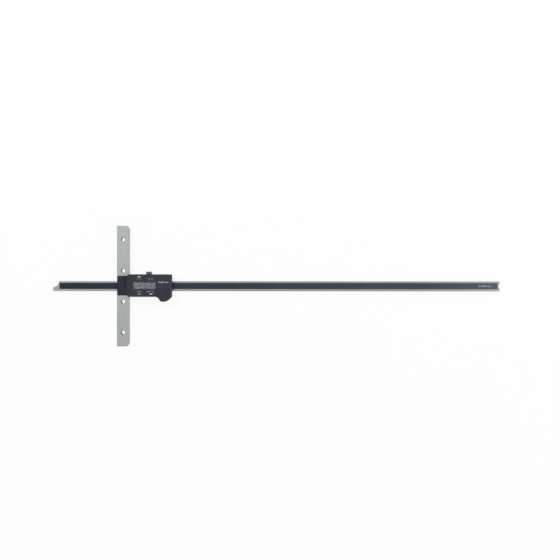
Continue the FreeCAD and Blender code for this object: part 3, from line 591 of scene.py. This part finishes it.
def make_case_screws():
    """Four screws at the corners of their node's box, each lofted from its recess to its tip."""
    low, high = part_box("case_screws")
    inset = SCREW_HEAD_RADIUS
    seat_z = low.z + SCREW_HEAD_HEIGHT
    thread_z = high.z - THREAD_LENGTH
    flat = SCREW_HEAD_RADIUS - SCREW_HEAD_EDGE

    def screw_rings(x, y):
        rings = [cross_ring(x, y, low.z + RECESS_DEPTH), cross_ring(x, y, low.z)]
        for step in range(EDGE_STEPS + 1):
            turn = math.pi / 2 * step / EDGE_STEPS
            rings.append(round_ring(x, y, low.z + SCREW_HEAD_EDGE * (1 - math.cos(turn)),
                                    flat + SCREW_HEAD_EDGE * math.sin(turn)))
        rings += [round_ring(x, y, seat_z, radius) for radius in (SCREW_HEAD_RADIUS, SCREW_RADIUS)]
        rings.append(round_ring(x, y, thread_z, SCREW_RADIUS))
        for k in range(int((THREAD_LENGTH - SCREW_HEAD_EDGE) / THREAD_PITCH)):
            rings.append(round_ring(x, y, thread_z + (k + 0.5) * THREAD_PITCH, SCREW_RADIUS - THREAD_DEPTH))
            rings.append(round_ring(x, y, thread_z + (k + 1) * THREAD_PITCH, SCREW_RADIUS))
        rings.append(round_ring(x, y, high.z, TIP_RADIUS))
        return rings

    def build(shape):
        for x in (low.x + inset, high.x - inset):
            for y in (low.y + inset, high.y - inset):
                loft(shape, screw_rings(x, y))

    mesh = mesh_from(build, "case_screws_crossed")
    screws = piece("case_screws_crossed", mesh, looks["screw_steel"], "slider",
                   smooth_angle=30)
    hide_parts("case_screws")


make_case_screws()


# Display: seven-segment figures for the reading at rest, on the panel's front.
DIGIT_HEIGHT = 7.4 * MM
DIGIT_WIDTH = 4.0 * MM
DIGIT_PITCH = 5.3 * MM
DIGIT_LEAN = 0.09
SEGMENT_WIDTH = 0.72 * MM
SEGMENT_GAP = 0.1 * MM
SEGMENT_LIFT = 0.02 * MM
POINT_SIZE = 0.8 * MM
READING = "103.60"
READING_SHIFT = 2.0 * MM
LIT_SEGMENTS = {"0": "abcdef", "1": "bc", "3": "abcdg", "6": "acdefg"}


def segment_outline(letter):
    """Corners of one bar of a figure, with the figure's middle at the origin."""
    half_w, half_h = DIGIT_WIDTH / 2 - SEGMENT_WIDTH / 2, DIGIT_HEIGHT / 2 - SEGMENT_WIDTH / 2
    ends = {
        "a": ((-half_w, half_h), (half_w, half_h)), "g": ((-half_w, 0), (half_w, 0)),
        "d": ((-half_w, -half_h), (half_w, -half_h)), "f": ((-half_w, 0), (-half_w, half_h)),
        "b": ((half_w, 0), (half_w, half_h)), "e": ((-half_w, -half_h), (-half_w, 0)),
        "c": ((half_w, -half_h), (half_w, 0)),
    }
    start, end = (Vector(point) for point in ends[letter])
    along = (end - start).normalized()
    across = Vector((-along.y, along.x)) * SEGMENT_WIDTH / 2
    start += along * SEGMENT_GAP
    end -= along * SEGMENT_GAP
    taper = along * SEGMENT_WIDTH / 2
    return [start, start + taper + across, end - taper + across,
            end, end - taper - across, start + taper - across]


def make_reading():
    """The reading's figures and point, leaning a little, as flat plates over the panel."""
    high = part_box("display_panel")[1]
    window = centre_of("display_lens")
    z = high.z + SEGMENT_LIFT
    figures = [c for c in READING if c != "."]
    first_x = window.x + READING_SHIFT - DIGIT_PITCH * (len(figures) - 1) / 2

    def build(shape):
        def plate(points):
            shape.faces.new([shape.verts.new((px + (py - window.y) * DIGIT_LEAN, py, z))
                             for px, py in points])

        for k, figure in enumerate(figures):
            x = first_x + DIGIT_PITCH * k
            for letter in LIT_SEGMENTS[figure]:
                plate([(x + p.x, window.y + p.y) for p in segment_outline(letter)])
        x = first_x + DIGIT_PITCH * (READING.index(".") - 0.5)
        y = window.y - DIGIT_HEIGHT / 2
        plate([(x, y), (x + POINT_SIZE, y), (x + POINT_SIZE, y + POINT_SIZE), (x, y + POINT_SIZE)])

    piece("display_reading", mesh_from(build, "display_reading"), segment_dark, "slider")


make_reading()


# Prints: plain function words and numbers, as thin layers of ink. A button's words stand a little below
# or above it. The step label and the zero label are a little left of the zero button.
INK_LIFT = 0.015 * MM
LABEL_HEIGHT = 1.5 * MM
LABEL_DROP = 3.4 * MM
LABEL_RISE = 3.8 * MM
LABEL_SHIFT = 0.6 * MM
STEP_LABEL_HEIGHT = 1.8 * MM
RANGE_LABEL_X = 76.0 * MM
RANGE_LABEL_Y = 6.4 * MM
RANGE_LABEL_HEIGHT = 2.5 * MM
END_LABEL_X = 595.5 * MM
END_LABEL_Y = 0.6 * MM
END_LABEL_HEIGHT = 3.0 * MM
END_LABEL_WIDTH = 20.5 * MM
BOLD = 0.03
HALF_BOLD = 0.01


def make_print(name, words, x, y, z, height, width, look, body, weight=0.0):
    """Flat lettering centred on x, y, fitted to a width and a height. A weight above 0 makes it bolder."""
    curve = bpy.data.curves.new(name, "FONT")
    curve.body = words
    curve.offset = weight
    curve.align_x = "CENTER"
    curve.align_y = "CENTER"
    source = bpy.data.objects.new(name + "_source", curve)
    bpy.context.scene.collection.objects.link(source)
    graph = bpy.context.evaluated_depsgraph_get()
    mesh = bpy.data.meshes.new_from_object(source.evaluated_get(graph))
    bpy.data.objects.remove(source)
    xs = [v.co.x for v in mesh.vertices]
    ys = [v.co.y for v in mesh.vertices]
    scale = Vector((width / (max(xs) - min(xs)), height / (max(ys) - min(ys)), 1))
    middle = Vector(((max(xs) + min(xs)) / 2, (max(ys) + min(ys)) / 2, 0))
    for vertex in mesh.vertices:
        offset = vertex.co - middle
        vertex.co = Vector((x + offset.x * scale.x, y + offset.y * scale.y, z))
    mesh.materials.clear()
    piece(name, mesh, look, body)


case_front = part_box("display_case")[1].z + INK_LIFT
unit_x, unit_y, _ = centre_of("unit_button")
power_x, power_y, _ = centre_of("power_button")
zero_x, zero_y, _ = centre_of("zero_button")
for name, words, x, y, height, width, weight in (
        ("unit_print", "mm/in", unit_x, unit_y - LABEL_DROP, LABEL_HEIGHT, 6.4 * MM, 0.0),
        ("step_print", "0.01 mm", zero_x - LABEL_SHIFT, unit_y - LABEL_DROP, STEP_LABEL_HEIGHT, 7.6 * MM,
         HALF_BOLD),
        ("power_print", "ON/OFF", power_x, power_y + LABEL_RISE, LABEL_HEIGHT, 7.4 * MM, 0.0),
        ("zero_print", "ZERO SET", zero_x - LABEL_SHIFT, zero_y + LABEL_RISE, LABEL_HEIGHT, 12.6 * MM, 0.0),
        ("range_print", "0-600 mm", RANGE_LABEL_X, RANGE_LABEL_Y, RANGE_LABEL_HEIGHT, 16.2 * MM, BOLD)):
    make_print(name, words, x, y, case_front, height, width, ink_pale, "slider", weight)

film_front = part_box("scale_film")[1].z + INK_LIFT
make_print("end_label_print", "0-600 mm", END_LABEL_X, END_LABEL_Y, film_front, END_LABEL_HEIGHT,
           END_LABEL_WIDTH, ink_grey, "beam", BOLD)


# Button cell: a plus sign on the can, seen when the lid is open.
PLUS_LENGTH = 3.0 * MM
PLUS_WIDTH = 0.5 * MM


def make_plus():
    """Plus sign on the middle of the cell's front."""
    low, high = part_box("battery")
    centre = (low + high) / 2
    z = high.z + INK_LIFT
    long, short = PLUS_LENGTH / 2, PLUS_WIDTH / 2
    arm = ((long, -short), (long, short), (short, short))
    turns = ((1, 0), (0, 1), (-1, 0), (0, -1))
    corners = [(c * dx - s * dy, s * dx + c * dy) for c, s in turns for dx, dy in arm]

    def build(shape):
        shape.faces.new([shape.verts.new((centre.x + dx, centre.y + dy, z)) for dx, dy in corners])

    piece("battery_plus", mesh_from(build, "battery_plus"), segment_dark, "slider")


make_plus()


# Output connector: a row of gilt contacts on the socket's face, seen when the port cover is out.
CONTACT_COUNT = 5
CONTACT_PITCH = 1.25 * MM
CONTACT_WIDTH = 0.5 * MM
CONTACT_HEIGHT = 2.2 * MM
CONTACT_LIFT = 0.08 * MM


def box_into(shape, low, high):
    """Box between two corners."""
    middle = (Vector(low) + Vector(high)) / 2
    span = Vector(high) - Vector(low)
    made = bmesh.ops.create_cube(shape, size=1.0)
    bmesh.ops.scale(shape, vec=span, verts=made["verts"])
    bmesh.ops.translate(shape, vec=middle, verts=made["verts"])


def make_contacts():
    """Flat contacts with rounded edges, side by side on the socket's face."""
    low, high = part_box("output_connector")
    middle_y, middle_z = (low.y + high.y) / 2, (low.z + high.z) / 2

    def build(shape):
        for k in range(CONTACT_COUNT):
            y = middle_y + CONTACT_PITCH * (k - (CONTACT_COUNT - 1) / 2)
            box_into(shape, (high.x, y - CONTACT_WIDTH / 2, middle_z - CONTACT_HEIGHT / 2),
                     (high.x + CONTACT_LIFT, y + CONTACT_WIDTH / 2, middle_z + CONTACT_HEIGHT / 2))
        bmesh.ops.bevel(shape, geom=list(shape.edges), offset=CONTACT_LIFT / 3, segments=2, affect="EDGES")

    piece("connector_contacts", mesh_from(build, "connector_contacts"), contact_gold, "slider")


make_contacts()


# Floor, light and camera. The floor's glow is the share of plain white that it shows to the eye, and the
# rest is lit, so that it keeps the object's shadow.
FLOOR_SIDE = 12.0
FLOOR_DROP = 0.05 * MM
FLOOR_DEEP = (0.88, 0.88, 0.88, 1)
FLOOR_PALE = (0.9, 0.9, 0.9, 1)
FLOOR_GLOW = 0.88
SKY_LIGHT = 0.5
SKY_SIGHT = 1.0


def sight(tree):
    """1 for rays that bring a surface to the eye, straight, mirrored or through glass, and 0 for light."""
    path = tree.nodes.new("ShaderNodeLightPath")
    seen = path.outputs["Is Camera Ray"]
    for ray in ("Is Transmission Ray", "Is Glossy Ray"):
        either = tree.nodes.new("ShaderNodeMath")
        either.operation = "MAXIMUM"
        tree.links.new(seen, either.inputs[0])
        tree.links.new(path.outputs[ray], either.inputs[1])
        seen = either.outputs[0]
    return seen


def make_floor():
    """Plain pale floor, far wider than the view."""
    def build(shape):
        half = FLOOR_SIDE / 2
        shape.faces.new([shape.verts.new((CAMERA_X + sx * half, sy * half, -FLOOR_DROP))
                         for sx, sy in ((-1, -1), (1, -1), (1, 1), (-1, 1))])
    floor = bpy.data.objects.new("floor", mesh_from(build, "floor"))
    bpy.context.scene.collection.objects.link(floor)
    surface = Surface("floor_look", roughness=0.9)
    clouds = surface.noise(1.5)
    surface.colour(surface.mixed(surface.ranged(clouds, *CLOUDS, *FULL), FLOOR_DEEP, FLOOR_PALE))
    surface.shader.inputs["Specular IOR Level"].default_value = 0.1
    share = surface.add("ShaderNodeMath")
    share.operation = "MULTIPLY"
    share.inputs[1].default_value = FLOOR_GLOW
    surface.link(sight(surface.tree), share.inputs[0])
    glow = surface.add("ShaderNodeEmission")
    mix = surface.add("ShaderNodeMixShader")
    surface.link(share.outputs[0], mix.inputs["Fac"])
    surface.link(surface.shader.outputs["BSDF"], mix.inputs[1])
    surface.link(glow.outputs["Emission"], mix.inputs[2])
    surface.link(mix.outputs["Shader"], surface.output.inputs["Surface"])
    floor.data.materials.append(surface.material)


def make_world():
    """White to the eye and in reflections, and a softer white as light."""
    world = bpy.data.worlds.new("studio")
    bpy.context.scene.world = world
    world.use_nodes = True
    nodes, links = world.node_tree.nodes, world.node_tree.links
    nodes.clear()
    mix = nodes.new("ShaderNodeMixShader")
    links.new(sight(world.node_tree), mix.inputs["Fac"])
    for socket, strength in ((mix.inputs[1], SKY_LIGHT), (mix.inputs[2], SKY_SIGHT)):
        background = nodes.new("ShaderNodeBackground")
        background.inputs["Color"].default_value = (1.0, 1.0, 1.0, 1.0)
        background.inputs["Strength"].default_value = strength
        links.new(background.outputs[0], socket)
    links.new(mix.outputs[0], nodes.new("ShaderNodeOutputWorld").inputs["Surface"])


def make_lamp(name, place, target, side, power):
    """Square soft lamp that faces a target."""
    data = bpy.data.lights.new(name, "AREA")
    data.size = side
    data.energy = power
    lamp = bpy.data.objects.new(name, data)
    lamp.location = place
    lamp.rotation_euler = (Vector(target) - Vector(place)).to_track_quat("-Z", "Y").to_euler()
    bpy.context.scene.collection.objects.link(lamp)


make_floor()
make_world()
make_lamp("key_lamp", place=(-0.9, 1.3, 1.9), target=(0.1, 0.0, 0.0), side=2.2, power=35.0)
make_lamp("fill_lamp", place=(1.9, 0.0, 1.3), target=(0.3, 0.0, 0.0), side=2.4, power=21.0)

front_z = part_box("base")[1].z
camera_data = bpy.data.cameras.new("camera")
camera_data.sensor_width = FILM_SIDE
camera_data.lens = FILM_SIDE * CAMERA_ABOVE_FRONT / FIELD_WIDTH
camera = bpy.data.objects.new("camera", camera_data)
camera_place = Matrix.Translation((CAMERA_X, CAMERA_Y, front_z + CAMERA_ABOVE_FRONT))
camera.matrix_world = camera_place @ Matrix.Rotation(CAMERA_ROLL, 4, "Z")
bpy.context.scene.collection.objects.link(camera)
bpy.context.scene.camera = camera
bpy.context.scene.view_settings.view_transform = "Standard"
